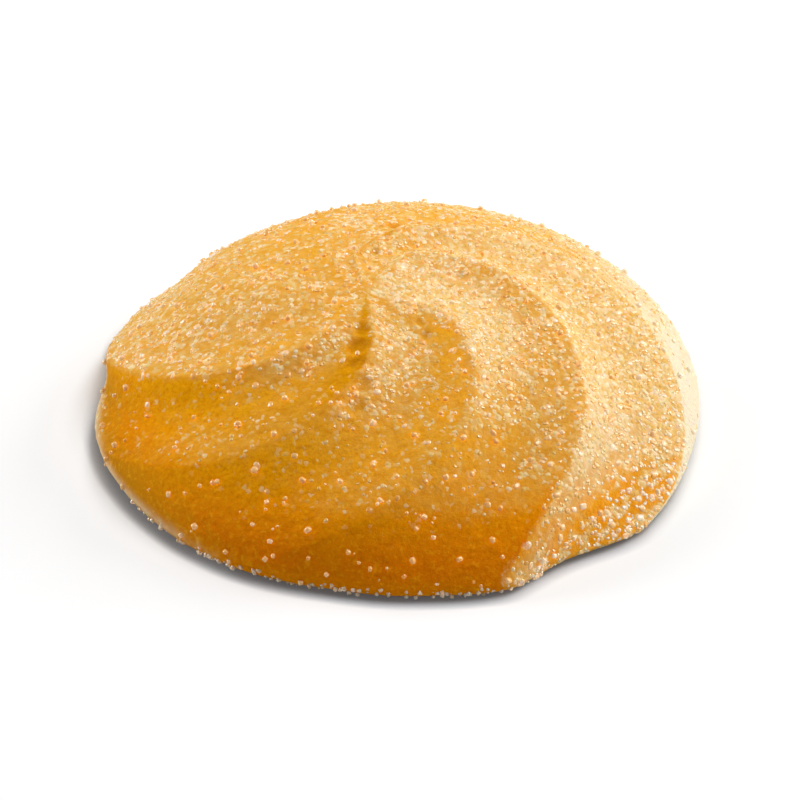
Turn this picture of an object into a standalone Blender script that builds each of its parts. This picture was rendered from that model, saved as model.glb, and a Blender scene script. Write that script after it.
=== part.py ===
"""A baked rice biscuit, piped as a swirl and rolled in coarse sugar.

The dough is pressed through a star nozzle with a turn of the wrist, so that
seven ridges run out from the crown and bend clockwise. In the oven it spreads
to a low dome with a lobed rim and a flat base. The largest sugar crystals are
baked on to it and belong to the same solid.

Metres, +Z up. The origin is the middle of the flat base, on the surface that
the biscuit lies on. Angles are in degrees, counted from +X towards +Y.
"""
import math
import random

import bmesh
import bpy
from mathutils import Euler, Matrix, Vector

MM = 0.001

# The dome: a rim line, the widest one, with the crown above and a rounded edge below
RADIUS = 29.85 * MM
DOME_HEIGHT = 12.1 * MM
DOME_FALL = 1.35
RIM_HEIGHT = 1.0 * MM
EDGE_TUCK = 1.2 * MM
CROWN_OFFSET = (-3.6 * MM, 1.7 * MM)
CROWN_DRIFT = 1.5

# Waves of the outline: how many, share of the radius, direction of one high
OUTLINE_WAVES = ((2, 0.020, 45), (3, 0.010, -32), (4, 0.004, -43))

# The ridges: direction at each of the three stations, share of the ridge height near the
# crown and near the rim, millimetres that the end reaches past the rim line, and
# millimetres that the notch after it cuts into the rim
STATIONS = (0.2, 0.55, 1.0)
RIDGES = (
    (121, 96, 30, 0.20, 0.20, -0.3, 0.0),
    (96, 25, -39, 0.85, 1.60, 0.0, 0.6),
    (50, -37, -70, 1.05, 1.40, 0.0, 0.0),
    (-30, -86, -124, 1.10, 0.70, -1.0, 0.0),
    (-94, -130, -172, 0.95, 0.65, 0.4, 0.0),
    (-133, -165, -200, 0.80, 2.00, 0.7, 0.0),
    (-187, -214, -277, 0.15, 0.15, -0.2, 0.0),
)
RIDGE_GROWTH = (0.25, 0.85)
END_GROWTH = (0.6, 1.0)
RIDGE_HEIGHT = 1.2 * MM
RIDGE_SHARPNESS = 1.05
RIDGE_SPREAD = 0.47
RIDGE_START = 0.3
STRAIGHT_START = 0.15
GROOVE_LEVEL = 0.4
GROOVE_LEAN = 1.18

# The mesh: rings from crown to rim, columns from each ridge to the next
RINGS = 30
COLUMNS = 14
EDGE_RINGS = 2
NORMAL_STEP = 0.01

# The sugar: crystals' edge lengths, how far they stand out, how far down they lie
SUGAR_SEED = 7
SUGAR_COUNT = 150
SUGAR_TRIES = 14
SUGAR_EDGE = (0.55 * MM, 0.85 * MM)
SUGAR_SHAPE = (1.0, 0.9, 0.78)
SUGAR_STAND = 0.15
SUGAR_LOWEST_RING = 0.955

CRUST_COLOUR = (0.62, 0.31, 0.065, 1.0)
SUGAR_COLOUR = (0.86, 0.72, 0.50, 1.0)


def smooth_step(share):
    """Ease from 0 to 1."""
    share = min(max(share, 0.0), 1.0)
    return share * share * (3.0 - 2.0 * share)


def share_between(value, low, high):
    """Ease from 0 at the low value to 1 at the high one."""
    return smooth_step((value - low) / (high - low))


def ridge_angle(ridge, out):
    """Direction of a ridge, in radians, at a share of the way out to the rim."""
    first, middle, last = STATIONS
    out = max(out, STRAIGHT_START)
    at_first = (out - middle) * (out - last) / ((first - middle) * (first - last))
    at_middle = (out - first) * (out - last) / ((middle - first) * (middle - last))
    at_last = (out - first) * (out - middle) / ((last - first) * (last - middle))
    return math.radians(ridge[0] * at_first + ridge[1] * at_middle + ridge[2] * at_last)


def gap_angles(index, out):
    """Directions of a ridge and of the next one, clockwise from it."""
    here = ridge_angle(RIDGES[index], out)
    after = ridge_angle(RIDGES[(index + 1) % len(RIDGES)], out)
    if index + 1 == len(RIDGES):
        after -= 2.0 * math.pi
    return here, after


def outline_radius(angle):
    """Radius of the rim line in one direction."""
    waves = (share * math.cos(count * (angle - math.radians(high)))
             for count, share, high in OUTLINE_WAVES)
    return RADIUS * (1.0 + sum(waves))


def ridge_rise(index, across, out):
    """Height over the plain dome, across the gap from one ridge (0) to the next (1)."""
    grown = share_between(out, *RIDGE_GROWTH)
    ridge = RIDGES[index]
    following = RIDGES[(index + 1) % len(RIDGES)]
    here = ridge[3] + (ridge[4] - ridge[3]) * grown
    after = following[3] + (following[4] - following[3]) * grown
    strength = here + (after - here) * smooth_step(across)
    valley = abs(math.sin(math.pi * across ** GROOVE_LEAN)) ** RIDGE_SHARPNESS
    return RIDGE_HEIGHT * strength * (1.0 - valley - GROOVE_LEVEL) * smooth_step(out / RIDGE_START)


def end_reach(index, across, out):
    """How much farther out than the rim line a ridge ends, less the notch beside it."""
    ridge = RIDGES[index]
    following = RIDGES[(index + 1) % len(RIDGES)]
    reach = ridge[5] + (following[5] - ridge[5]) * smooth_step(across)
    notch = ridge[6] * math.sin(math.pi * across ** GROOVE_LEAN) ** 2
    return (reach - notch) * MM * share_between(out, *END_GROWTH)


def surface_point(index, across, out):
    """A point of the crust, in the gap after a ridge, at a share of the way out."""
    start, end = gap_angles(index, out)
    angle = start + (end - start) * across
    lean = math.sin(out * math.pi / 2.0)
    upright = max(math.cos(out * math.pi / 2.0), 0.0)
    rise = ridge_rise(index, across, out)
    radius = outline_radius(angle) * lean + rise * lean * RIDGE_SPREAD + end_reach(index, across, out)
    height = RIM_HEIGHT + DOME_HEIGHT * upright ** DOME_FALL + rise * upright
    drift = (1.0 - out) ** CROWN_DRIFT
    return Vector((CROWN_OFFSET[0] * drift + radius * math.cos(angle),
                   CROWN_OFFSET[1] * drift + radius * math.sin(angle),
                   height))


def surface_normal(index, across, out):
    """Direction that the crust faces at a point."""
    nearer, farther = max(out - NORMAL_STEP, 0.0), out + NORMAL_STEP
    before, after = max(across - NORMAL_STEP, 0.0), min(across + NORMAL_STEP, 1.0)
    along = surface_point(index, across, farther) - surface_point(index, across, nearer)
    sideways = surface_point(index, after, out) - surface_point(index, before, out)
    return sideways.cross(along).normalized()


def make_material(name, colour, roughness):
    """A plain matte finish."""
    material = bpy.data.materials.new(name)
    material.use_nodes = True
    shader = material.node_tree.nodes["Principled BSDF"]
    shader.inputs["Base Color"].default_value = colour
    shader.inputs["Roughness"].default_value = roughness
    shader.inputs["Metallic"].default_value = 0.0
    return material


def join_rings(mesh, upper, lower):
    """A band of faces from one ring of vertices to the ring outside it."""
    for column in range(len(upper)):
        after = (column + 1) % len(upper)
        mesh.faces.new((upper[column], upper[after], lower[after], lower[column]))


def make_crust(material):
    """The swirled dome with its rounded edge and flat base, as one closed mesh."""
    mesh = bmesh.new()
    crown = mesh.verts.new(surface_point(0, 0.0, 0.0))
    rings = []
    for ring in range(1, RINGS + 1):
        row = [mesh.verts.new(surface_point(index, column / COLUMNS, ring / RINGS))
               for index in range(len(RIDGES)) for column in range(COLUMNS)]
        rings.append(row)
    rim = [vertex.co.copy() for vertex in rings[-1]]
    for ring in range(1, EDGE_RINGS + 1):
        turn = ring / EDGE_RINGS * math.pi / 2.0
        tuck = EDGE_TUCK * (1.0 - math.cos(turn))
        height = RIM_HEIGHT * (1.0 - math.sin(turn))
        row = []
        for point in rim:
            inward = 1.0 - tuck / point.xy.length
            row.append(mesh.verts.new((point.x * inward, point.y * inward, height)))
        rings.append(row)
    for column in range(len(rings[0])):
        after = (column + 1) % len(rings[0])
        mesh.faces.new((crown, rings[0][after], rings[0][column]))
    for upper, lower in zip(rings, rings[1:]):
        join_rings(mesh, upper, lower)
    mesh.faces.new(rings[-1])
    bmesh.ops.triangulate(mesh, faces=mesh.faces)
    bmesh.ops.recalc_face_normals(mesh, faces=mesh.faces)
    data = bpy.data.meshes.new("biscuit")
    mesh.to_mesh(data)
    mesh.free()
    crust = bpy.data.objects.new("biscuit", data)
    crust.data.materials.append(material)
    bpy.context.scene.collection.objects.link(crust)
    return crust


def sugar_places(draw):
    """Spots for the crystals, each the emptiest of a few drawn at random."""
    places = []
    while len(places) < SUGAR_COUNT:
        best = None
        for _ in range(SUGAR_TRIES):
            reach = math.sin(SUGAR_LOWEST_RING * math.pi / 2.0) * math.sqrt(draw.random())
            out = math.asin(reach) * 2.0 / math.pi
            turn = draw.random() * 2.0 * math.pi
            index, across = locate(turn, out)
            point = surface_point(index, across, out)
            room = min(((point - other[0]).length for other in places), default=RADIUS)
            if best is None or room > best[0]:
                best = (room, point, surface_normal(index, across, out))
        places.append(best[1:])
    return places


def locate(turn, out):
    """The gap that a direction falls in, and how far across it."""
    for index in range(len(RIDGES)):
        start, end = gap_angles(index, out)
        behind = (start - turn) % (2.0 * math.pi)
        if behind < start - end:
            return index, behind / (start - end)
    return 0, 0.0


def make_sugar(material, collection):
    """The largest crystals: blocks turned at random and half sunk in the crust."""
    draw = random.Random(SUGAR_SEED)
    for number, (point, normal) in enumerate(sugar_places(draw)):
        edge = draw.uniform(*SUGAR_EDGE)
        turned = Euler([draw.uniform(0.0, 2.0 * math.pi) for _ in range(3)]).to_matrix().to_4x4()
        shape = Matrix.Diagonal([edge * share for share in SUGAR_SHAPE] + [1.0])
        place = Matrix.Translation(point + normal * edge * SUGAR_STAND)
        mesh = bmesh.new()
        bmesh.ops.create_cube(mesh, size=1.0, matrix=place @ turned @ shape)
        data = bpy.data.meshes.new("sugar")
        mesh.to_mesh(data)
        mesh.free()
        data.materials.append(material)
        crystal = bpy.data.objects.new("sugar_%03d" % number, data)
        collection.objects.link(crystal)


def fuse(crust, collection):
    """One union of the crust with every crystal, applied, with the crystals then removed."""
    union = crust.modifiers.new("sugar", "BOOLEAN")
    union.operation = "UNION"
    union.operand_type = "COLLECTION"
    union.collection = collection
    union.solver = "MANIFOLD"
    bpy.context.view_layer.objects.active = crust
    bpy.ops.object.modifier_apply(modifier=union.name)
    for crystal in list(collection.objects):
        bpy.data.objects.remove(crystal)
    bpy.data.collections.remove(collection)


for leftover in list(bpy.data.objects):
    bpy.data.objects.remove(leftover)

biscuit = make_crust(make_material("baked_crust", CRUST_COLOUR, 0.7))
sugar = bpy.data.collections.new("sugar")
bpy.context.scene.collection.children.link(sugar)
make_sugar(make_material("sugar", SUGAR_COLOUR, 0.35), sugar)
fuse(biscuit, sugar)
biscuit.data.shade_smooth()
biscuit.data.set_sharp_from_angle(angle=math.radians(35.0))
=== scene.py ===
import math
import random

import bpy
import numpy as np
from mathutils import Euler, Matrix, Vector, noise


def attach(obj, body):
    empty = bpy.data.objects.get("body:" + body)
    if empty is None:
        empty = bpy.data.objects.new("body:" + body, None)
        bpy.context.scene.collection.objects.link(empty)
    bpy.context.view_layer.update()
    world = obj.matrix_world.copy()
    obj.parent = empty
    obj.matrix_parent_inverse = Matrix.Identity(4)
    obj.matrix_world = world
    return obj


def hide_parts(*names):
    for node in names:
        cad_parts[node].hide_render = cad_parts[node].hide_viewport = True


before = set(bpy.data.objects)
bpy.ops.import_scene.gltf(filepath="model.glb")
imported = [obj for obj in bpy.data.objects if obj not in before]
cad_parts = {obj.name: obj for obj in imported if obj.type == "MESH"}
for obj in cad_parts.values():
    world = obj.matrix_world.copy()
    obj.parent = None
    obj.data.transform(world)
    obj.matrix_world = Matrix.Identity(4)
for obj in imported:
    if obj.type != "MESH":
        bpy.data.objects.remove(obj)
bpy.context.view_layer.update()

# The baked dough
# One piece of rich dough, pressed through a star nozzle with a turn of the wrist, so that
# seven ridges bend clockwise from the crown to the lobed rim. It is baked gold on top and
# browner down the sides, and it replaces the plain solid that has its form.
MM = 0.001
RADIUS = 29.85 * MM
DOME_HEIGHT = 12.1 * MM
DOME_FALL = 1.35
RIM_HEIGHT = 1.0 * MM
EDGE_TUCK = 1.2 * MM
CROWN_OFFSET = (-3.6 * MM, 1.7 * MM)
CROWN_DRIFT = 1.5
OUTLINE_WAVES = ((2, 0.020, 45), (3, 0.010, -32), (4, 0.004, -43))

# The ridges: direction at each of the three stations, share of the ridge height near the
# crown and near the rim, millimetres that the end reaches past the rim line, and
# millimetres that the notch after it cuts into the rim
STATIONS = (0.2, 0.55, 1.0)
RIDGES = np.array((
    (121, 96, 30, 0.20, 0.20, -0.3, 0.0),
    (96, 25, -39, 0.85, 1.60, 0.0, 0.6),
    (50, -37, -70, 1.05, 1.40, 0.0, 0.0),
    (-30, -86, -124, 1.10, 0.70, -1.0, 0.0),
    (-94, -130, -172, 0.95, 0.65, 0.4, 0.0),
    (-133, -165, -200, 0.80, 2.00, 0.7, 0.0),
    (-187, -214, -277, 0.15, 0.15, -0.2, 0.0),
))
RIDGE_GROWTH = (0.25, 0.85)
RIDGE_HEIGHT = 1.2 * MM
RIDGE_SHARPNESS = 1.05
RIDGE_SPREAD = 0.47
RIDGE_START = 0.3
STRAIGHT_START = 0.15
GROOVE_LEVEL = 0.4
GROOVE_LEAN = 1.18
END_GROWTH = (0.6, 1.0)

DOUGH_COLUMNS = 64
DOUGH_RINGS = 170
DOUGH_EDGE_RINGS = 8
DOUGH_BASE_RINGS = 20

# Low swells and crumb in the top, from noise with a size and a seed of its own for each
TOP_ENDS = (0.98, 1.06)
SWELL_SIZE = 6.0 * MM
SWELL_HEIGHT = 0.14 * MM
SWELL_SEED = 1
CRUMB_SIZE = 1.1 * MM
CRUMB_HEIGHT = 0.07 * MM
CRUMB_SEED = 2
CRUMB_OCTAVES = 3

# Small pits in the top: place, radius and depth of each, in millimetres
PIT_FLOOR = 0.3
PITS = (
    (-1.0, 15.5, 0.7, 0.4),
    (-1.7, 12.3, 0.8, 0.5),
    (-2.8, 9.3, 0.6, 0.3),
    (2.2, -4.2, 0.8, 0.20),
    (1.6, -2.6, 0.6, 0.18),
    (5.6, 5.8, 0.9, 0.25),
    (-4.0, -3.9, 1.1, 0.30),
    (-4.4, -6.0, 1.5, 0.45),
    (-4.5, -8.5, 1.3, 0.45),
    (-4.0, -11.2, 1.5, 0.30),
    (-4.6, -13.4, 1.4, 0.25),
)

# How thick the sugar lies in each gap: just after its ridge and then just before the next
# one, each near the crown, half way out, low on the side and at the rim
SUGAR_LEVELS = np.array((
    (0.42, 0.40, 0.80, 0.95, 0.30, 0.32, 0.70, 0.90),
    (0.36, 0.76, 1.35, 1.10, 0.46, 0.80, 0.26, 0.60),
    (0.55, 0.34, 0.00, 0.00, 1.20, 0.19, 0.00, 0.00),
    (0.18, 0.19, 0.00, 0.00, 0.60, 0.11, 0.00, 0.10),
    (0.04, 0.18, 0.08, 0.22, 0.40, 0.09, 0.07, 0.22),
    (0.28, 0.34, 0.44, 0.60, 0.35, 0.38, 0.55, 0.60),
    (0.34, 0.37, 0.45, 0.55, 0.29, 0.24, 0.42, 0.55),
))
LEVEL_OUT = (0.12, 0.50, 0.80, 0.95)
LEVEL_ACROSS = (0.15, 0.80)
CREST_BLEND = 0.9 * MM
CREST_WANDER = 0.5 * MM
CREST_WANDER_SIZE = 1.3 * MM
PAST_RIDGE_SEED = 8
TO_RIDGE_SEED = 9
COVER_PATCHES = (2.0 * MM, 0.32)
PATCHES_SEED = 6
COVER_CLUMPS = (0.9 * MM, 0.25)
CLUMPS_SEED = 10

# The gaps that bake or catch sugar in their own way
RIGHT_GAP = 1
FRONT_GAP = 2
FRONT_LEFT_GAP = 3
LEFT_GAP = 4

# Pale cream: a painted highlight low on what faces the right lamps, and a paler rim on the left
HIGHLIGHT_WAY = (0.996, 0.087, 0.0)
HIGHLIGHT_FACING = (0.32, 0.85)
HIGHLIGHT_OUT = (0.35, 0.80)
LEFT_RIM_PALE = 0.58
LEFT_RIM_FACING = (0.50, 0.85)
LEFT_RIM_OUT = (0.86, 0.97)

# How brown the crust is: browner lower down, but less so on the left, in the right gap and in
# part of the front left one, and more so on the right of the front gap. Less brown at the foot: painted
# bounce light from the table
BROWN_HEIGHTS = (1.5 * MM, 10.5 * MM)
BROWN_PATCHES = (5.0 * MM, 0.12)
BROWN_SEED = 7
BOUNCE_LIT_FOOT_BROWN = 0.72
BOUNCE_LIT_FOOT_HEIGHTS = (0.8 * MM, 3.2 * MM)
LEFT_LIGHTER = 0.50
LEFT_FACING = (0.35, 0.85)
RIGHT_GAP_LIGHTER = 0.6
FRONT_DARKER = 0.30
FRONT_DARKER_FACING = (0.10, 0.50)
FRONT_DARKER_OUT = (0.45, 0.65)
FRONT_LEFT_LIGHTER = 0.3
FRONT_LEFT_ACROSS = (0.50, 0.80)

# A dull tan: painted shade low on the left and on what faces the back, and the same tan by the crown
LEFT_SHADE_HEIGHTS = (2.0 * MM, 7.0 * MM)
CROWN_TAN = 0.5
CROWN_OUT = (0.40, 0.60)
CROWN_ACROSS = (0.30, 0.65)
BACK_SHADE = 0.75
BACK_FACING = (0.30, 0.65)

# The low right lobe, where the sugar is loose and the crust shows between the grains
LOOSE_OUT = (0.60, 0.78)
LOOSE_FACING = (0.12, 0.42)
LOOSE_ACROSS = (0.70, 0.92)
LOOSE_END = 0.6
LOOSE_BARE = 0.85
LOOSE_PATCH_SIZE = 1.1 * MM
LOOSE_PATCHES = (-0.60, 0.05)
LOOSE_SEED = 14
LOOSE_PALE = 0.9
UPWARD = (0.45, 0.80)

# The finish of the crust: colours, the sizes of their patches and where each one starts
GOLD = ((0.30, (0.83, 0.350, 0.0004, 1.0)), (0.70, (0.91, 0.410, 0.0010, 1.0)))
GOLD_SIZE = 1.6 * MM
BROWN = ((0.30, (0.70, 0.168, 0.0003, 1.0)), (0.70, (0.77, 0.208, 0.0006, 1.0)))
BROWN_SIZE = 2.6 * MM
# The dull tan and the greyed sugar on it: painted shade low on the left and at the back, and the same tan by
# the crown
SHADE_AND_TAN_COLOUR = (0.60, 0.24, 0.004, 1.0)
SHADE_AND_TAN_ON_SUGAR = (0.86, 0.86, 0.86, 1.0)
DARK_SPECKS = (0.46, 0.70, 0.45)
DARK_SPECK_SIZE = 0.34 * MM
DARK_SPECK_COLOUR = (0.58, 0.165, 0.001, 1.0)
LIGHT_SPECKS = (0.52, 0.74, 0.50)
LIGHT_SPECK_SIZE = 0.46 * MM
LIGHT_SPECK_COLOUR = (0.92, 0.46, 0.012, 1.0)
FILM = ((0.35, (0.735, 0.325, 0.034, 1.0)), (0.65, (0.785, 0.415, 0.085, 1.0)))
FILM_SIZE = 0.8 * MM
FILM_COVER = (0.09, 0.32)
THICK_SUGAR_COVER = (0.45, 0.95, 0.75)
THICK_SUGAR_COLOUR = (0.88, 0.68, 0.42, 1.0)
GRANULE_SIZE = 0.42 * MM
GRANULE_REACH = 1.35
GRANULE_EDGE = 0.30
GRANULE_BLEND = 0.25
GRANULE_ROUND = (0.75, 0.10)
GRANULES = (
    (0.0, (0.75, 0.41, 0.08, 1.0)),
    (0.5, (0.80, 0.53, 0.20, 1.0)),
    (1.0, (0.90, 0.72, 0.44, 1.0)),
)
# Pale cream for the painted highlight low on the right and for the paler rim on the left
PALE_COLOUR = (0.73, 0.62, 0.43, 1.0)
# Painted shade: darker orange-brown in the pits, as deep as each pit is, and in the cracks
HOLLOW_SHADE_COLOUR = (0.66, 0.25, 0.006, 1.0)
CRACK_SIZE = 1.5 * MM
CRACK_WIDTH = 0.040
CRACK_FLOOR = 0.2
CRACK_DEPTH_SHARE = 0.5
CRACK_WANDER = 0.6
CRACK_WANDER_SIZE = 0.5
CRACK_PATCH_SIZE = 2.2
CRACK_PATCHES = (0.57, 0.68)
CRACK_DEPTH = 0.035 * MM
CRUST_SCATTER = (1.2 * MM, 0.5 * MM, 0.15 * MM)
BUMP_SIZE = 0.5 * MM
BUMP_HEIGHT = 0.22 * MM
BUMP_STRENGTH = 0.75
GRANULE_HEIGHT = 0.10 * MM


def smooth_step(share):
    """Ease from 0 to 1."""
    share = np.clip(share, 0.0, 1.0)
    return share * share * (3.0 - 2.0 * share)


def share_between(value, low, high):
    """Ease from 0 at the low value to 1 at the high one."""
    return smooth_step((value - low) / (high - low))


def ridge_angle(index, out):
    """Direction of a ridge, in radians, at a share of the way out to the rim."""
    first, middle, last = STATIONS
    out = np.maximum(out, STRAIGHT_START)
    at_first = (out - middle) * (out - last) / ((first - middle) * (first - last))
    at_middle = (out - first) * (out - last) / ((middle - first) * (middle - last))
    at_last = (out - first) * (out - middle) / ((last - first) * (last - middle))
    ridge = RIDGES[index]
    return np.radians(ridge[..., 0] * at_first + ridge[..., 1] * at_middle + ridge[..., 2] * at_last)


def gap_angles(index, out):
    """Directions of a ridge and of the next one, clockwise from it."""
    index = np.asarray(index)
    here = ridge_angle(index, out)
    after = ridge_angle((index + 1) % len(RIDGES), out)
    return here, after - 2.0 * np.pi * (index + 1 == len(RIDGES))


def outline_radius(angle):
    """Radius of the rim line in one direction."""
    waves = sum(share * np.cos(count * (angle - math.radians(high)))
                for count, share, high in OUTLINE_WAVES)
    return RADIUS * (1.0 + waves)


def ridge_rise(index, across, out):
    """Height over the plain dome, across the gap from one ridge (0) to the next (1)."""
    grown = share_between(out, *RIDGE_GROWTH)
    ridge = RIDGES[index]
    following = RIDGES[(np.asarray(index) + 1) % len(RIDGES)]
    here = ridge[..., 3] + (ridge[..., 4] - ridge[..., 3]) * grown
    after = following[..., 3] + (following[..., 4] - following[..., 3]) * grown
    strength = here + (after - here) * smooth_step(across)
    valley = np.abs(np.sin(np.pi * across ** GROOVE_LEAN)) ** RIDGE_SHARPNESS
    return RIDGE_HEIGHT * strength * (1.0 - valley - GROOVE_LEVEL) * smooth_step(out / RIDGE_START)


def end_reach(index, across, out):
    """How much farther out than the rim line a ridge ends, less the notch beside it."""
    ridge = RIDGES[index]
    following = RIDGES[(np.asarray(index) + 1) % len(RIDGES)]
    reach = ridge[..., 5] + (following[..., 5] - ridge[..., 5]) * smooth_step(across)
    notch = ridge[..., 6] * np.sin(np.pi * across ** GROOVE_LEAN) ** 2
    return (reach - notch) * MM * share_between(out, *END_GROWTH)


def dough_point(index, across, out):
    """A point of the swirl, in the gap after a ridge, at a share of the way out."""
    start, end = gap_angles(index, out)
    angle = start + (end - start) * across
    lean = np.sin(out * np.pi / 2.0)
    upright = np.maximum(np.cos(out * np.pi / 2.0), 0.0)
    rise = ridge_rise(index, across, out)
    radius = outline_radius(angle) * lean + rise * lean * RIDGE_SPREAD + end_reach(index, across, out)
    height = RIM_HEIGHT + DOME_HEIGHT * upright ** DOME_FALL + rise * upright
    drift = np.maximum(1.0 - out, 0.0) ** CROWN_DRIFT
    return np.stack((CROWN_OFFSET[0] * drift + radius * np.cos(angle),
                     CROWN_OFFSET[1] * drift + radius * np.sin(angle),
                     height), -1)


def read_points(mesh, what="co"):
    """Vertex places or normals of a mesh, as rows of three."""
    values = np.empty(len(mesh.vertices) * 3)
    mesh.vertices.foreach_get(what, values)
    return values.reshape(-1, 3)


def shape_dough(mesh):
    """Moves the vertices of a round ball on to the swirl, its edge and its flat base.

    Gives each vertex's gap, its share of the way across the gap, and its share of the way
    out: up to 1 on the top, and from there to 2 along the base to its middle.
    """
    places = read_points(mesh)
    rings = DOUGH_RINGS + DOUGH_EDGE_RINGS + DOUGH_BASE_RINGS + 1
    columns = len(RIDGES) * DOUGH_COLUMNS
    from_top = np.arctan2(np.hypot(places[:, 0], places[:, 1]), places[:, 2])
    ring = np.rint(from_top / np.pi * rings).astype(int)
    turn = -np.arctan2(places[:, 1], places[:, 0]) / (2.0 * np.pi)
    column = np.rint(turn * columns).astype(int) % columns
    index = column // DOUGH_COLUMNS
    across = column % DOUGH_COLUMNS / DOUGH_COLUMNS
    out = np.minimum(ring / DOUGH_RINGS, 1.0)
    shaped = dough_point(index, across, out)
    edge_turn = np.clip((ring - DOUGH_RINGS) / DOUGH_EDGE_RINGS, 0.0, 1.0) * np.pi / 2.0
    inward = 1.0 - EDGE_TUCK * (1.0 - np.cos(edge_turn)) / np.hypot(shaped[:, 0], shaped[:, 1])
    base = np.clip((ring - DOUGH_RINGS - DOUGH_EDGE_RINGS) / (DOUGH_BASE_RINGS + 1), 0.0, 1.0)
    below = ring > DOUGH_RINGS
    scale = inward * (1.0 - base)
    shaped[below, 0] *= scale[below]
    shaped[below, 1] *= scale[below]
    shaped[below, 2] = RIM_HEIGHT * (1.0 - np.sin(edge_turn[below]))
    mesh.vertices.foreach_set("co", shaped.ravel())
    mesh.update()
    return index, across, np.maximum(out, below * (1.0 + base))


def noise_at(places, size, seed, octaves=1):
    """Smooth noise of a given size at many places, about -1 to 1."""
    shift = Vector((seed * 3.7, seed * 1.9, seed * 5.3))
    if octaves == 1:
        return np.array([noise.noise(Vector(place) / size + shift) for place in places])
    return np.array([noise.fractal(Vector(place) / size + shift, 0.8, 2.1, octaves)
                     for place in places])


bpy.ops.object.select_all(action="DESELECT")
bpy.ops.mesh.primitive_uv_sphere_add(
    segments=len(RIDGES) * DOUGH_COLUMNS,
    ring_count=DOUGH_RINGS + DOUGH_EDGE_RINGS + DOUGH_BASE_RINGS + 1,
    radius=RADIUS,
    calc_uvs=False,
)
dough = bpy.context.object
dough.name = dough.data.name = "dough"
gap, gap_share, way_out = shape_dough(dough.data)
bpy.ops.object.shade_smooth()

# Swells, crumb and pits, pressed into the top along the way that each vertex faces
places = read_points(dough.data)
facing = read_points(dough.data, "normal")
top_only = 1.0 - share_between(way_out, *TOP_ENDS)
pits = np.zeros(len(places))
for pit_x, pit_y, pit_radius, pit_depth in PITS:
    away = np.hypot(places[:, 0] - pit_x * MM, places[:, 1] - pit_y * MM)
    bowl = 1.0 - share_between(away, PIT_FLOOR * pit_radius * MM, pit_radius * MM)
    pits = np.maximum(pits, bowl * pit_depth)
relief = SWELL_HEIGHT * noise_at(places, SWELL_SIZE, SWELL_SEED) * top_only
relief += CRUMB_HEIGHT * noise_at(places, CRUMB_SIZE, CRUMB_SEED, CRUMB_OCTAVES) * top_only
relief -= pits * MM * top_only
places = places + facing * relief[:, None]
places[:, 2] = np.maximum(places[:, 2], 0.0)
dough.data.vertices.foreach_set("co", places.ravel())
dough.data.update()

# Where the sugar lies: a level for each side of each gap, blended over the crests
facing = read_points(dough.data, "normal")
nearby = np.hypot(places[:, 0], places[:, 1])
start, end = gap_angles(gap, np.minimum(way_out, 1.0))
past_ridge = nearby * (start - end) * gap_share
past_ridge += CREST_WANDER * noise_at(places, CREST_WANDER_SIZE, PAST_RIDGE_SEED)
to_ridge = nearby * (start - end) * (1.0 - gap_share)
to_ridge += CREST_WANDER * noise_at(places, CREST_WANDER_SIZE, TO_RIDGE_SEED)


def level_along(gaps, first):
    """Sugar level on one side of the gaps, at each vertex's share of the way out."""
    level = SUGAR_LEVELS[gaps, first]
    for step in range(1, len(LEVEL_OUT)):
        further = share_between(way_out, LEVEL_OUT[step - 1], LEVEL_OUT[step])
        level = level + (SUGAR_LEVELS[gaps, first + step] - level) * further
    return level


after_ridge = level_along(gap, 0)
before_ridge = level_along(gap, len(LEVEL_OUT))
last_side = level_along((gap - 1) % len(RIDGES), len(LEVEL_OUT))
next_side = level_along((gap + 1) % len(RIDGES), 0)
cover = after_ridge + (before_ridge - after_ridge) * share_between(gap_share, *LEVEL_ACROSS)
crest_share = 0.5 * (1.0 - share_between(past_ridge, 0.0, CREST_BLEND))
cover += (last_side - after_ridge) * crest_share
crest_share = 0.5 * (1.0 - share_between(to_ridge, 0.0, CREST_BLEND))
cover += (next_side - before_ridge) * crest_share
cover *= 1.0 + COVER_PATCHES[1] * noise_at(places, COVER_PATCHES[0], PATCHES_SEED)
cover *= 1.0 + COVER_CLUMPS[1] * noise_at(places, COVER_CLUMPS[0], CLUMPS_SEED)
cover = np.clip(cover, 0.0, 1.0) * top_only * (1.0 - pits)
# Painted highlight: pale cream low on what faces the right lamps
highlight_and_pale_rim = share_between(facing @ np.array(HIGHLIGHT_WAY), *HIGHLIGHT_FACING) * share_between(way_out, *HIGHLIGHT_OUT)
highlight_and_pale_rim *= top_only

# Where the oven has browned it, with painted bounce light at the foot, then a dull tan of painted shade
browning = 1.0 - share_between(places[:, 2], *BROWN_HEIGHTS)
browning = np.clip(browning + BROWN_PATCHES[1] * noise_at(places, BROWN_PATCHES[0], BROWN_SEED), 0.0, 1.0)
# Painted bounce light: less brown at the foot, where the table lights it
browning *= BOUNCE_LIT_FOOT_BROWN + (1.0 - BOUNCE_LIT_FOOT_BROWN) * share_between(places[:, 2], *BOUNCE_LIT_FOOT_HEIGHTS)
browning *= 1.0 - LEFT_LIGHTER * share_between(-facing[:, 0], *LEFT_FACING)
browning *= 1.0 - RIGHT_GAP_LIGHTER * (gap == RIGHT_GAP)
front_right = (gap == FRONT_GAP) * share_between(facing[:, 0], *FRONT_DARKER_FACING)
browning += FRONT_DARKER * front_right * share_between(way_out, *FRONT_DARKER_OUT)
browning *= 1.0 - FRONT_LEFT_LIGHTER * (gap == FRONT_LEFT_GAP) * share_between(gap_share, *FRONT_LEFT_ACROSS)
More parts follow.
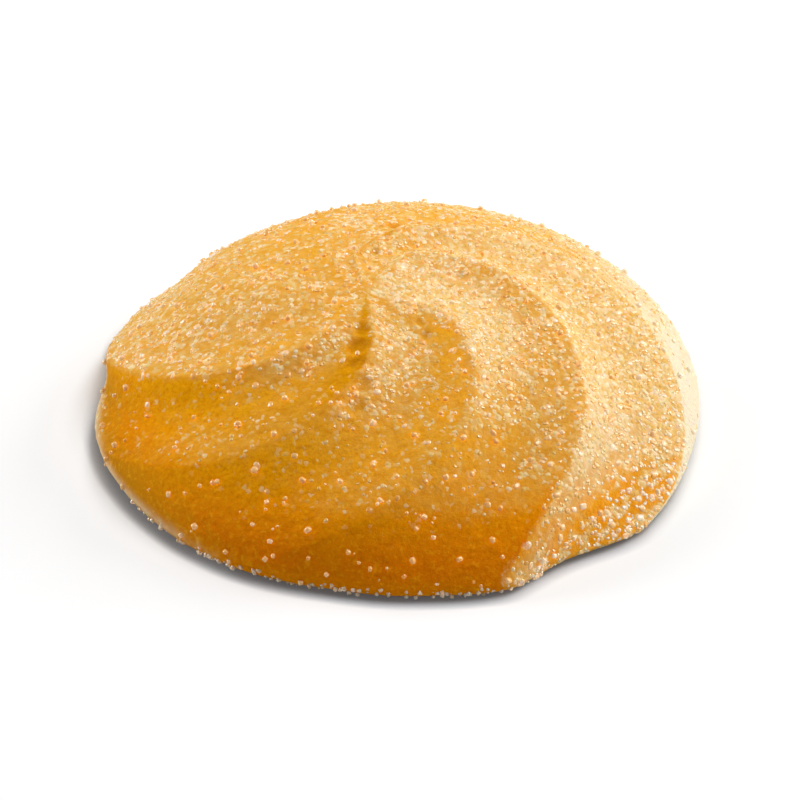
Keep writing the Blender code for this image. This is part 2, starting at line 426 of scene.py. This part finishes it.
# Painted shade: a dull tan low on what faces left and on what faces the back, and the same tan by the crown
# in the left gap
shade_and_tan = share_between(-facing[:, 0], *LEFT_FACING)
shade_and_tan *= 1.0 - share_between(places[:, 2], *LEFT_SHADE_HEIGHTS)
crown_side = (gap == LEFT_GAP) * (1.0 - share_between(way_out, *CROWN_OUT))
crown_side = crown_side * (1.0 - share_between(gap_share, *CROWN_ACROSS))
shade_and_tan += CROWN_TAN * crown_side + BACK_SHADE * share_between(facing[:, 1], *BACK_FACING)
shade_and_tan = np.clip(shade_and_tan, 0.0, 1.0)

# Where the sugar is loose, and has not melted to a film
loose = (gap == RIGHT_GAP) * share_between(way_out, *LOOSE_OUT)
loose = loose * share_between(-facing[:, 1], *LOOSE_FACING) * top_only
loose *= 1.0 - LOOSE_END * share_between(gap_share, *LOOSE_ACROSS)
bare_patches = share_between(noise_at(places, LOOSE_PATCH_SIZE, LOOSE_SEED), *LOOSE_PATCHES)
melted = cover * (1.0 - LOOSE_BARE * loose * bare_patches)
highlight_and_pale_rim *= 1.0 - LOOSE_PALE * loose
# A paler rim on what faces left
left_rim = share_between(-facing[:, 0], *LEFT_RIM_FACING) * share_between(way_out, *LEFT_RIM_OUT)
highlight_and_pale_rim += LEFT_RIM_PALE * left_rim * top_only

upward = share_between(facing[:, 2], *UPWARD)
for name, values in (("cover", melted), ("highlight_and_pale_rim", highlight_and_pale_rim), ("browning", browning), ("pits", pits),
                     ("upward", upward), ("shade_and_tan", shade_and_tan)):
    dough.data.attributes.new(name, "FLOAT", "POINT").data.foreach_set("value", values)


def node(tree, kind, **settings):
    """A new node with its settings."""
    made = tree.nodes.new(kind)
    for name, value in settings.items():
        setattr(made, name, value)
    return made


def ramp(tree, source, stops):
    """A colour ramp of position and colour pairs on a source."""
    made = tree.nodes.new("ShaderNodeValToRGB")
    elements = made.color_ramp.elements
    while len(elements) < len(stops):
        elements.new(0.5)
    for element, (position, colour) in zip(elements, stops):
        element.position = position
        element.color = colour
    tree.links.new(source, made.inputs["Fac"])
    return made.outputs["Color"]


def blend_colour(tree, share, first, second, way="MIX"):
    """Two colours mixed by a share; each is a socket or a plain colour."""
    made = node(tree, "ShaderNodeMix", data_type="RGBA", blend_type=way)
    for socket, value in ((0, share), (6, first), (7, second)):
        if isinstance(value, (tuple, float)):
            made.inputs[socket].default_value = value
        else:
            tree.links.new(value, made.inputs[socket])
    return made.outputs[2]


def multiply(tree, first, second):
    """The product of two sockets."""
    made = node(tree, "ShaderNodeMath", operation="MULTIPLY")
    tree.links.new(first, made.inputs[0])
    tree.links.new(second, made.inputs[1])
    return made.outputs["Value"]


def noise_socket(tree, size, detail=3.0, roughness=0.6):
    """Noise of a given size over the piece's own coordinates."""
    coordinates = node(tree, "ShaderNodeTexCoord")
    made = node(tree, "ShaderNodeTexNoise")
    made.inputs["Scale"].default_value = 1.0 / size
    made.inputs["Detail"].default_value = detail
    made.inputs["Roughness"].default_value = roughness
    tree.links.new(coordinates.outputs["Object"], made.inputs["Vector"])
    return made.outputs["Fac"]


def attribute_socket(tree, name):
    """A value kept on the mesh."""
    made = node(tree, "ShaderNodeAttribute", attribute_name=name)
    return made.outputs["Fac"]


def eased_socket(tree, source, low, high, top=1.0):
    """A value that runs from 0 at the low value of the source to the top at the high one."""
    made = node(tree, "ShaderNodeMapRange")
    made.inputs["From Min"].default_value = low
    made.inputs["From Max"].default_value = high
    made.inputs["To Max"].default_value = top
    tree.links.new(source, made.inputs["Value"])
    return made.outputs["Result"]


def granule_sockets(tree):
    """Grains that have melted into the crust: two random values and a rounded height for each."""
    coordinates = node(tree, "ShaderNodeTexCoord")
    cells = node(tree, "ShaderNodeTexVoronoi", feature="SMOOTH_F1")
    cells.inputs["Scale"].default_value = 1.0 / GRANULE_SIZE
    cells.inputs["Smoothness"].default_value = GRANULE_BLEND
    tree.links.new(coordinates.outputs["Object"], cells.inputs["Vector"])
    split = node(tree, "ShaderNodeSeparateColor")
    tree.links.new(cells.outputs["Color"], split.inputs["Color"])
    height = eased_socket(tree, cells.outputs["Distance"], *GRANULE_ROUND)
    return split.outputs["Red"], split.outputs["Green"], height


def granule_share(tree, covered, place):
    """How far each grain shows: none where nothing is covered, all where the sugar is thick."""
    reach = node(tree, "ShaderNodeMath", operation="MULTIPLY_ADD")
    tree.links.new(covered, reach.inputs[0])
    reach.inputs[1].default_value = GRANULE_REACH
    reach.inputs[2].default_value = 0.0
    lift = node(tree, "ShaderNodeMath", operation="SUBTRACT")
    tree.links.new(reach.outputs["Value"], lift.inputs[0])
    tree.links.new(place, lift.inputs[1])
    return eased_socket(tree, lift.outputs["Value"], 0.0, GRANULE_EDGE)


def crack_socket(tree):
    """Short fine cracks on what faces up: above 0 in a crack and 0 away from it."""
    coordinates = node(tree, "ShaderNodeTexCoord")
    bent = node(tree, "ShaderNodeVectorMath", operation="MULTIPLY_ADD")
    wander = node(tree, "ShaderNodeTexNoise")
    wander.inputs["Scale"].default_value = 1.0 / (CRACK_WANDER_SIZE * CRACK_SIZE)
    tree.links.new(coordinates.outputs["Object"], wander.inputs["Vector"])
    tree.links.new(wander.outputs["Color"], bent.inputs[0])
    bent.inputs[1].default_value = (CRACK_WANDER * CRACK_SIZE,) * 3
    tree.links.new(coordinates.outputs["Object"], bent.inputs[2])
    walls = node(tree, "ShaderNodeTexVoronoi", feature="DISTANCE_TO_EDGE")
    walls.inputs["Scale"].default_value = 1.0 / CRACK_SIZE
    tree.links.new(bent.outputs["Vector"], walls.inputs["Vector"])
    thin = eased_socket(tree, walls.outputs["Distance"], CRACK_WIDTH, CRACK_FLOOR * CRACK_WIDTH,
                        CRACK_DEPTH_SHARE)
    open_here = eased_socket(tree, noise_socket(tree, CRACK_PATCH_SIZE * CRACK_SIZE, 2.0), *CRACK_PATCHES)
    return multiply(tree, multiply(tree, thin, open_here), attribute_socket(tree, "upward"))


def bare_crust(tree):
    """Gold above and brown below, with a dull tan in places that is painted shade on the left and back, and
    fine darker and lighter specks.
    """
    gold = ramp(tree, noise_socket(tree, GOLD_SIZE, 5.0), GOLD)
    brown = ramp(tree, noise_socket(tree, BROWN_SIZE, 4.0), BROWN)
    bare = blend_colour(tree, attribute_socket(tree, "browning"), gold, brown)
    bare = blend_colour(tree, attribute_socket(tree, "shade_and_tan"), bare, SHADE_AND_TAN_COLOUR)
    darker = eased_socket(tree, noise_socket(tree, DARK_SPECK_SIZE, 2.0), *DARK_SPECKS)
    bare = blend_colour(tree, darker, bare, DARK_SPECK_COLOUR)
    lighter = eased_socket(tree, noise_socket(tree, LIGHT_SPECK_SIZE, 2.0), *LIGHT_SPECKS)
    return blend_colour(tree, lighter, bare, LIGHT_SPECK_COLOUR)


def crust_material():
    """Baked crust, with a film of sugar and melted grains where it is covered."""
    material = bpy.data.materials.new("baked_crust")
    material.use_nodes = True
    tree = material.node_tree
    shader = tree.nodes["Principled BSDF"]
    covered = attribute_socket(tree, "cover")
    film = ramp(tree, noise_socket(tree, FILM_SIZE, 3.0), FILM)
    colour = blend_colour(tree, eased_socket(tree, covered, *FILM_COVER), bare_crust(tree), film)
    # Painted shade: the sugar film is greyed where the dull tan is
    colour = blend_colour(tree, attribute_socket(tree, "shade_and_tan"), colour, SHADE_AND_TAN_ON_SUGAR, "MULTIPLY")
    thickly = eased_socket(tree, covered, *THICK_SUGAR_COVER)
    colour = blend_colour(tree, thickly, colour, THICK_SUGAR_COLOUR)
    grain_tone, grain_place, grain_height = granule_sockets(tree)
    grain_share = granule_share(tree, covered, grain_place)
    colour = blend_colour(tree, grain_share, colour, ramp(tree, grain_tone, GRANULES))
    # Painted highlight: the pale cream low on the right, with the paler rim on the left
    colour = blend_colour(tree, attribute_socket(tree, "highlight_and_pale_rim"), colour, PALE_COLOUR)
    # Painted shade in the pits, darker where they are deeper
    colour = blend_colour(tree, attribute_socket(tree, "pits"), colour, HOLLOW_SHADE_COLOUR)
    cracks = crack_socket(tree)
    # Painted shade in the cracks
    colour = blend_colour(tree, cracks, colour, HOLLOW_SHADE_COLOUR)
    tree.links.new(colour, shader.inputs["Base Color"])
    shader.inputs["Roughness"].default_value = 0.6
    shader.inputs["Specular IOR Level"].default_value = 0.01
    shader.inputs["Subsurface Weight"].default_value = 0.4
    shader.inputs["Subsurface Radius"].default_value = CRUST_SCATTER
    shader.inputs["Subsurface Scale"].default_value = 1.0
    crumb = node(tree, "ShaderNodeBump")
    crumb.inputs["Distance"].default_value = BUMP_HEIGHT
    crumb.inputs["Strength"].default_value = BUMP_STRENGTH
    tree.links.new(noise_socket(tree, BUMP_SIZE, 5.0, 0.7), crumb.inputs["Height"])
    grains = node(tree, "ShaderNodeBump")
    grains.inputs["Distance"].default_value = GRANULE_HEIGHT
    tree.links.new(grain_share, grains.inputs["Strength"])
    tree.links.new(grain_height, grains.inputs["Height"])
    tree.links.new(crumb.outputs["Normal"], grains.inputs["Normal"])
    split = node(tree, "ShaderNodeBump", invert=True)
    split.inputs["Distance"].default_value = CRACK_DEPTH
    tree.links.new(cracks, split.inputs["Height"])
    tree.links.new(grains.outputs["Normal"], split.inputs["Normal"])
    tree.links.new(split.outputs["Normal"], shader.inputs["Normal"])
    return material


dough.data.materials.append(crust_material())
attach(dough, "root")
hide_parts("biscuit")

# The coarse sugar
# The largest crystals stand where the solid has them, turned at random and half sunk in the
# crust. They are clear blocks of sugar that have shrunk and rounded a little in the oven.
COARSE_SEED = 7
COARSE_COUNT = 150
COARSE_TRIES = 14
COARSE_EDGE = (0.55 * MM, 0.85 * MM)
COARSE_MELT = 0.75
COARSE_STAND = 0.15
COARSE_LOWEST_RING = 0.955
COARSE_TONE = (0.05, 0.60)
COARSE_TONE_COVER = 0.5
COARSE_CLEAR = 0.12
CRYSTAL_SHAPE = (1.0, 0.9, 0.78)
CRYSTAL_BEVEL = 0.18
NORMAL_STEP = 0.01
SUGAR_TINTS = (
    (0.0, (0.78, 0.42, 0.08, 1.0)),
    (0.5, (0.88, 0.59, 0.27, 1.0)),
    (1.0, (0.98, 0.80, 0.62, 1.0)),
)
SUGAR_SCATTER = (0.25 * MM, 0.25 * MM, 0.25 * MM)


def locate(turn, out):
    """The gap that a direction falls in, and how far across it."""
    for index in range(len(RIDGES)):
        start, end = gap_angles(index, out)
        behind = (start - turn) % (2.0 * math.pi)
        if behind < start - end:
            return index, behind / (start - end)
    return 0, 0.0


def dough_normal(index, across, out):
    """Direction that the swirl faces at a point."""
    nearer, farther = max(out - NORMAL_STEP, 0.0), out + NORMAL_STEP
    before, after = max(across - NORMAL_STEP, 0.0), min(across + NORMAL_STEP, 1.0)
    along = dough_point(index, across, farther) - dough_point(index, across, nearer)
    sideways = dough_point(index, after, out) - dough_point(index, before, out)
    normal = np.cross(sideways, along)
    return normal / np.linalg.norm(normal)


def coarse_places(draw):
    """Spots for the crystals, each the emptiest of a few drawn at random."""
    spots = []
    while len(spots) < COARSE_COUNT:
        best = None
        for _ in range(COARSE_TRIES):
            reach = math.sin(COARSE_LOWEST_RING * math.pi / 2.0) * math.sqrt(draw.random())
            out = math.asin(reach) * 2.0 / math.pi
            index, across = locate(draw.random() * 2.0 * math.pi, out)
            point = dough_point(index, across, out)
            room = min((np.linalg.norm(point - spot[0]) for spot in spots), default=RADIUS)
            if best is None or room > best[0]:
                best = (room, point, dough_normal(index, across, out))
        spots.append(best[1:])
    return spots


def crystal_form(bevel, shape):
    """The points and faces of one unit crystal, modelled as a block with its edges taken off."""
    bpy.ops.object.select_all(action="DESELECT")
    bpy.ops.mesh.primitive_cube_add(size=1.0)
    block = bpy.context.object
    bpy.ops.object.mode_set(mode="EDIT")
    bpy.ops.mesh.select_all(action="SELECT")
    bpy.ops.mesh.bevel(offset=bevel, segments=1, affect="EDGES")
    bpy.ops.object.mode_set(mode="OBJECT")
    points = read_points(block.data) * np.array(shape)
    faces = [list(face.vertices) for face in block.data.polygons]
    bpy.data.objects.remove(block)
    return points, faces


def join_crystals(name, form, centres, turns, sizes, tones, smooth=False):
    """One mesh of many crystals, each a copy of the form, turned, sized, placed and toned."""
    points, faces = form
    placed = np.einsum("nij,pj->npi", turns, points) * np.asarray(sizes)[:, None, None]
    placed += np.asarray(centres)[:, None, :]
    count = len(points)
    corners = np.concatenate(faces)
    starts = np.cumsum([0] + [len(face) for face in faces[:-1]])
    whole = np.arange(len(centres))[:, None]
    mesh = bpy.data.meshes.new(name)
    mesh.vertices.add(count * len(centres))
    mesh.vertices.foreach_set("co", placed.ravel())
    mesh.loops.add(len(corners) * len(centres))
    mesh.loops.foreach_set("vertex_index", (corners[None] + whole * count).ravel())
    mesh.polygons.add(len(faces) * len(centres))
    mesh.polygons.foreach_set("loop_start", (starts[None] + whole * len(corners)).ravel())
    mesh.update(calc_edges=True)
    mesh.attributes.new("tone", "FLOAT", "POINT").data.foreach_set("value", np.repeat(tones, count))
    mesh.validate()
    if smooth:
        mesh.shade_smooth()
    piece = bpy.data.objects.new(name, mesh)
    piece.visible_shadow = False
    bpy.context.scene.collection.objects.link(piece)
    return piece


def sugar_material(name, clear):
    """Sugar, part clear: from crystals that have melted and browned to clean white ones."""
    material = bpy.data.materials.new(name)
    material.use_nodes = True
    tree = material.node_tree
    shader = tree.nodes["Principled BSDF"]
    tint = ramp(tree, attribute_socket(tree, "tone"), SUGAR_TINTS)
    tree.links.new(tint, shader.inputs["Base Color"])
    shader.inputs["Roughness"].default_value = 0.2
    shader.inputs["IOR"].default_value = 1.5
    shader.inputs["Specular IOR Level"].default_value = 0.8
    shader.inputs["Transmission Weight"].default_value = clear
    shader.inputs["Subsurface Weight"].default_value = 1.0
    shader.inputs["Subsurface Radius"].default_value = SUGAR_SCATTER
    shader.inputs["Subsurface Scale"].default_value = 1.0
    return material


draw = random.Random(COARSE_SEED)
centres, turns, sizes, tones = [], [], [], []
# The crystals are paler where the sugar is thick and where the pale highlight is painted
around = cover + highlight_and_pale_rim
for point, normal in coarse_places(draw):
    edge = draw.uniform(*COARSE_EDGE)
    turns.append(np.array(Euler([draw.uniform(0.0, 2.0 * math.pi) for _ in range(3)]).to_matrix()))
    centres.append(point + normal * edge * COARSE_STAND)
    sizes.append(edge * COARSE_MELT)
    nearest = np.argmin(((places - point) ** 2).sum(1))
    tones.append(min(draw.uniform(*COARSE_TONE) + COARSE_TONE_COVER * around[nearest], 1.0))
coarse_form = crystal_form(CRYSTAL_BEVEL, CRYSTAL_SHAPE)
coarse = join_crystals("sugar_coarse", coarse_form, centres, turns, sizes, tones)
coarse.data.materials.append(sugar_material("sugar_coarse", COARSE_CLEAR))
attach(coarse, "root")

# The finer sugar
# Most of the sugar is flat, half melted grains of two sizes, stuck on by the syrup that they
# made. It lies thick where the sugar levels say, and hardly at all where the pale highlight is painted.
FINE_SEED = 21
MEDIUM_COUNT = 1500
MEDIUM_EDGE = (0.42 * MM, 0.85 * MM)
MEDIUM_TONE = (0.34, 0.22, 0.25)
MEDIUM_LOWEST = 0.8 * MM
MEDIUM_CLEAR = 0.2
FINE_COUNT = 3600
FINE_EDGE = (0.28 * MM, 0.52 * MM)
FINE_TONE = (0.12, 0.40, 0.18)
FINE_LOWEST = 0.5 * MM
FINE_CLEAR = 0.0
FINE_SHAPE = (1.0, 0.85, 0.30)
FINE_BEVEL = 0.27
FINE_STAND = -0.05
FINE_TILT = 12.0
SMALL_ONES = 1.6
THICK_COVER = (0.07, 0.60)
PALE_BARE = 0.93
LOOSE_TONE = 0.7


def lying_turns(draw, normals, tilt):
    """Rotations that lay each crystal nearly flat on the crust, turned at random."""
    up = normals + math.tan(math.radians(tilt)) * draw.normal(size=normals.shape)
    up /= np.linalg.norm(up, axis=1)[:, None]
    along = np.cross(up, draw.normal(size=up.shape))
    along /= np.linalg.norm(along, axis=1)[:, None]
    return np.stack((along, np.cross(up, along), up), -1)


def scatter(draw, count, density, edge, tone, lowest, stand):
    """Random spots on the crust by its density at each vertex, with turns, sizes and tones.

    A tone starts at the first value, gains the second where the sugar is thick, and strays
    by about the third.
    """
    mesh = dough.data
    mesh.calc_loop_triangles()
    corners = np.empty(len(mesh.loop_triangles) * 3, int)
    mesh.loop_triangles.foreach_get("vertices", corners)
    # The ball's faces come in another order each time, so they are sorted first
    corners = corners.reshape(-1, 3)
    corners = corners[np.lexsort(corners.T)]
    first, second, third = (places[corners[:, corner]] for corner in range(3))
    area = np.linalg.norm(np.cross(second - first, third - first), axis=1)
    middle = (first + second + third) / 3.0
    covered = (cover + LOOSE_TONE * loose)[corners].mean(1)
    weight = area * density[corners].mean(1) * (middle[:, 2] > lowest)
    chosen = draw.choice(len(corners), size=count, p=weight / weight.sum())
    shares = draw.dirichlet((1.0, 1.0, 1.0), size=count)
    spots = sum(shares[:, corner, None] * places[corners[chosen, corner]] for corner in range(3))
    normals = sum(shares[:, corner, None] * facing[corners[chosen, corner]] for corner in range(3))
    sizes = edge[0] + (edge[1] - edge[0]) * draw.random(count) ** SMALL_ONES
    tones = np.clip(tone[0] + tone[1] * covered[chosen] + tone[2] * draw.normal(size=count), 0.0, 1.0)
    centres = spots + normals * (sizes * stand)[:, None]
    return centres, lying_turns(draw, normals, FINE_TILT), sizes, tones


fine_draw = np.random.default_rng(FINE_SEED)
fine_form = crystal_form(FINE_BEVEL, FINE_SHAPE)
thick = share_between(cover, *THICK_COVER) * (1.0 - PALE_BARE * highlight_and_pale_rim)
medium_grains = scatter(fine_draw, MEDIUM_COUNT, thick, MEDIUM_EDGE, MEDIUM_TONE, MEDIUM_LOWEST, FINE_STAND)
medium = join_crystals("sugar_medium", fine_form, *medium_grains, smooth=True)
medium.data.materials.append(sugar_material("sugar_medium", MEDIUM_CLEAR))
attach(medium, "root")
fine_grains = scatter(fine_draw, FINE_COUNT, thick, FINE_EDGE, FINE_TONE, FINE_LOWEST, FINE_STAND)
fine = join_crystals("sugar_fine", fine_form, *fine_grains, smooth=True)
fine.data.materials.append(sugar_material("sugar_fine", FINE_CLEAR))
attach(fine, "root")

# The stray sugar
# Single grains that stand on the crust in loose patches, and are best seen on the bare front
# and left side: small broken blocks of clear sugar that have not melted in.
STRAY_SEED = 41
STRAY_COUNT = 300
STRAY_EDGE = (0.20 * MM, 0.55 * MM)
STRAY_TONE = (0.32, 0.50, 0.27)
STRAY_LOWEST = 0.6 * MM
STRAY_CLEAR = 0.2
STRAY_STAND = 0.12
STRAY_BEVEL = 0.16
STRAY_LEAST = 0.12
STRAY_PATCH_SIZE = 3.2 * MM
STRAY_PATCHES = (0.0, 0.4)
STRAY_PATCH_SEED = 12


def random_turns(draw, count):
    """Rotations with no preferred direction."""
    quaternions = draw.normal(size=(count, 4))
    w, x, y, z = (quaternions / np.linalg.norm(quaternions, axis=1)[:, None]).T
    return np.stack((
        np.stack((1 - 2 * (y * y + z * z), 2 * (x * y - w * z), 2 * (x * z + w * y)), -1),
        np.stack((2 * (x * y + w * z), 1 - 2 * (x * x + z * z), 2 * (y * z - w * x)), -1),
        np.stack((2 * (x * z - w * y), 2 * (y * z + w * x), 1 - 2 * (x * x + y * y)), -1),
    ), -2)


stray_draw = np.random.default_rng(STRAY_SEED)
stray_patches = share_between(noise_at(places, STRAY_PATCH_SIZE, STRAY_PATCH_SEED), *STRAY_PATCHES)
strewn = STRAY_LEAST + stray_patches * (1.0 - PALE_BARE * highlight_and_pale_rim)
stray_spots, _, stray_sizes, stray_tones = scatter(
    stray_draw, STRAY_COUNT, strewn, STRAY_EDGE, STRAY_TONE, STRAY_LOWEST, STRAY_STAND)
stray_turns = random_turns(stray_draw, STRAY_COUNT)
stray_form = crystal_form(STRAY_BEVEL, CRYSTAL_SHAPE)
stray = join_crystals("sugar_stray", stray_form, stray_spots, stray_turns, stray_sizes, stray_tones)
stray.data.materials.append(sugar_material("sugar_stray", STRAY_CLEAR))
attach(stray, "root")

# The sugar at the foot
# Loose crystals that have gathered where the front and the left of the biscuit meet the
# baking sheet, and have stuck to its edge there.
FOOT_SEED = 33
FOOT_COUNT = 170
FOOT_EDGE = (0.22 * MM, 0.52 * MM)
FOOT_TURNS = (-150.0, -62.0)
FOOT_OUT = (0.97, 1.0)
FOOT_HIGHEST = 2.2 * MM
FOOT_STAND = 0.10
FOOT_SINK = (0.45, 1.0)
FOOT_PULL = 0.12 * MM
FOOT_REST = 0.6
FOOT_TONE = (0.7, 1.0)
FOOT_CLEAR = 0.3

foot_draw = np.random.default_rng(FOOT_SEED)
foot_low = (way_out > FOOT_OUT[0]) & (way_out <= FOOT_OUT[1]) & (places[:, 2] < FOOT_HIGHEST)
foot_ring = np.flatnonzero(foot_low)
foot_angle = np.degrees(np.arctan2(places[foot_ring, 1], places[foot_ring, 0]))
foot_ring = foot_ring[(foot_angle > FOOT_TURNS[0]) & (foot_angle < FOOT_TURNS[1])]
foot_chosen = foot_draw.choice(foot_ring, FOOT_COUNT, replace=False)
foot_size = foot_draw.uniform(*FOOT_EDGE, FOOT_COUNT)
foot_turns = random_turns(foot_draw, FOOT_COUNT)
foot_places = places[foot_chosen] + facing[foot_chosen] * (foot_size * FOOT_STAND)[:, None]
foot_places[:, 2] *= foot_draw.uniform(*FOOT_SINK, FOOT_COUNT)
foot_places[:, :2] *= 1.0 - FOOT_PULL / np.hypot(foot_places[:, 0], foot_places[:, 1])[:, None]
foot_places[:, 2] = np.maximum(foot_places[:, 2], foot_size * FOOT_REST)
foot_tones = foot_draw.uniform(*FOOT_TONE, FOOT_COUNT)
foot = join_crystals("sugar_foot", stray_form, foot_places, foot_turns, foot_size, foot_tones)
foot.data.materials.append(sugar_material("sugar_foot", FOOT_CLEAR))
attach(foot, "root")

# The table, light and camera
# A plain white surface, three round soft lamps and a little light from all round. A lamp
# has a direction, a height and the brightness that it gives a white surface facing it.
# The camera looks down at the biscuit, as in the photograph.
TABLE_SIZE = 1.6
TABLE_GLOW = 0.07
LAMP_DISTANCE = 0.6
LAMP_SIZE = 0.36
LAMPS = {
    "right": (20.0, 20.0, 0.60),
    "above": (20.0, 60.0, 0.70),
    "left": (160.0, 20.0, 0.72),
}
ROUND_LIGHT = 0.15
CAMERA_ELEVATION = 39.0
CAMERA_DISTANCE = 0.45
VIEW_WIDTH = 79.44 * MM
SENSOR = 36.0
AIM = (-0.32 * MM, 0.0, 0.93 * MM)

# A painted shadow on the table: a thin dark line under the front and left edge, deepest where the table is
# closed in
SHADOW_REACH = 1.7 * MM
SHADOW_RAYS = 8
SHADOW_LEAN = (0.40, 0.78, 0.48)
SHADOW_COLOURS = (
    (0.38, (0.16, 0.17, 0.19, 1.0)),
    (0.72, (0.60, 0.61, 0.63, 1.0)),
    (0.94, (0.92, 0.92, 0.92, 1.0)),
)


def table_material():
    """Matte white, with a painted shadow: the dark line where the biscuit closes the table in."""
    material = bpy.data.materials.new("white_table")
    material.use_nodes = True
    tree = material.node_tree
    shader = tree.nodes["Principled BSDF"]
    nearness = node(tree, "ShaderNodeAmbientOcclusion", samples=SHADOW_RAYS)
    nearness.inputs["Distance"].default_value = SHADOW_REACH
    lean = node(tree, "ShaderNodeCombineXYZ")
    for socket, value in zip(lean.inputs, SHADOW_LEAN):
        socket.default_value = value
    tree.links.new(lean.outputs["Vector"], nearness.inputs["Normal"])
    tree.links.new(ramp(tree, nearness.outputs["AO"], SHADOW_COLOURS), shader.inputs["Base Color"])
    shader.inputs["Roughness"].default_value = 0.9
    shader.inputs["Specular IOR Level"].default_value = 0.0
    shader.inputs["Emission Color"].default_value = (1.0, 1.0, 1.0, 1.0)
    shader.inputs["Emission Strength"].default_value = TABLE_GLOW
    return material


def direction(azimuth, elevation):
    """Unit vector at an angle round from +X and an angle up."""
    turn, lift = math.radians(azimuth), math.radians(elevation)
    return Vector((math.cos(turn) * math.cos(lift), math.sin(turn) * math.cos(lift), math.sin(lift)))


bpy.ops.object.select_all(action="DESELECT")
bpy.ops.mesh.primitive_plane_add(size=TABLE_SIZE)
table = bpy.context.object
table.name = "table"
table.data.materials.append(table_material())

for lamp_name, (azimuth, elevation, strength) in LAMPS.items():
    light = bpy.data.lights.new(lamp_name, "AREA")
    light.shape = "DISK"
    light.size = LAMP_SIZE
    light.energy = strength * math.pi ** 2 * LAMP_DISTANCE ** 2
    lamp = bpy.data.objects.new(lamp_name, light)
    way = direction(azimuth, elevation)
    lamp.location = way * LAMP_DISTANCE
    lamp.rotation_euler = way.to_track_quat("Z", "Y").to_euler()
    bpy.context.scene.collection.objects.link(lamp)

world = bpy.data.worlds.new("studio")
world.use_nodes = True
world.node_tree.nodes["Background"].inputs["Color"].default_value = (1.0, 1.0, 1.0, 1.0)
world.node_tree.nodes["Background"].inputs["Strength"].default_value = ROUND_LIGHT
bpy.context.scene.world = world
bpy.context.scene.view_settings.view_transform = "Standard"

lens = bpy.data.cameras.new("camera")
lens.sensor_width = SENSOR
lens.lens = SENSOR * CAMERA_DISTANCE / VIEW_WIDTH
lens.clip_start = 0.01
lens.clip_end = 10.0
camera = bpy.data.objects.new("camera", lens)
camera_way = direction(-90.0, CAMERA_ELEVATION)
camera.location = Vector(AIM) + camera_way * CAMERA_DISTANCE
camera.rotation_euler = camera_way.to_track_quat("Z", "Y").to_euler()
bpy.context.scene.collection.objects.link(camera)
bpy.context.scene.camera = camera
